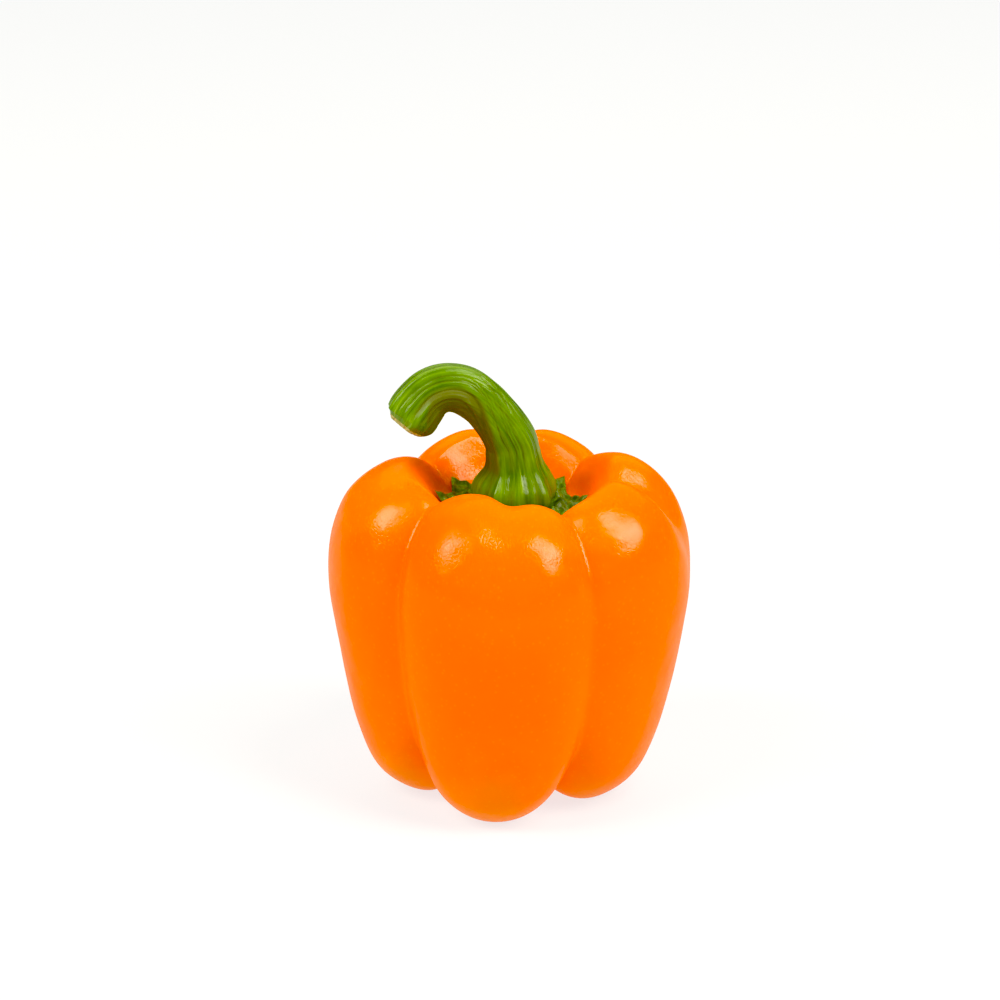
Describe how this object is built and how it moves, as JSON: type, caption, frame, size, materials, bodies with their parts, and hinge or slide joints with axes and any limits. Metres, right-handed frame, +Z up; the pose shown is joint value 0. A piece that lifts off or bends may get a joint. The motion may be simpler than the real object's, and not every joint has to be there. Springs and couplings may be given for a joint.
{
  "type": "bell pepper",
  "caption": "Orange bell pepper with deep lobes, standing upright on its lobe ends, with a crimped green calyx and a hooked stem cut short.",
  "frame": {"origin": "centre of the whole pepper's box in plan, on the surface that it stands on", "axes": "+Z up from the standing surface, +X to the right of the side shown in the picture, +Y away from that side; the stem hooks towards -X"},
  "size_m": [0.0854, 0.0806, 0.1071],
  "materials": {
    "fruit": "smooth waxy skin of ripe orange pepper flesh, glossy with soft broken highlights",
    "calyx": "dark green leafy calyx, finely crimped, satin",
    "stem": "fresh green ribbed plant stem with fine lengthwise streaks, satin, with a pale dried cut face"
  },
  "bodies": {
    "root": {"fruit": "fruit", "calyx": "calyx", "stem": "stem"}
  },
  "joints": []
}
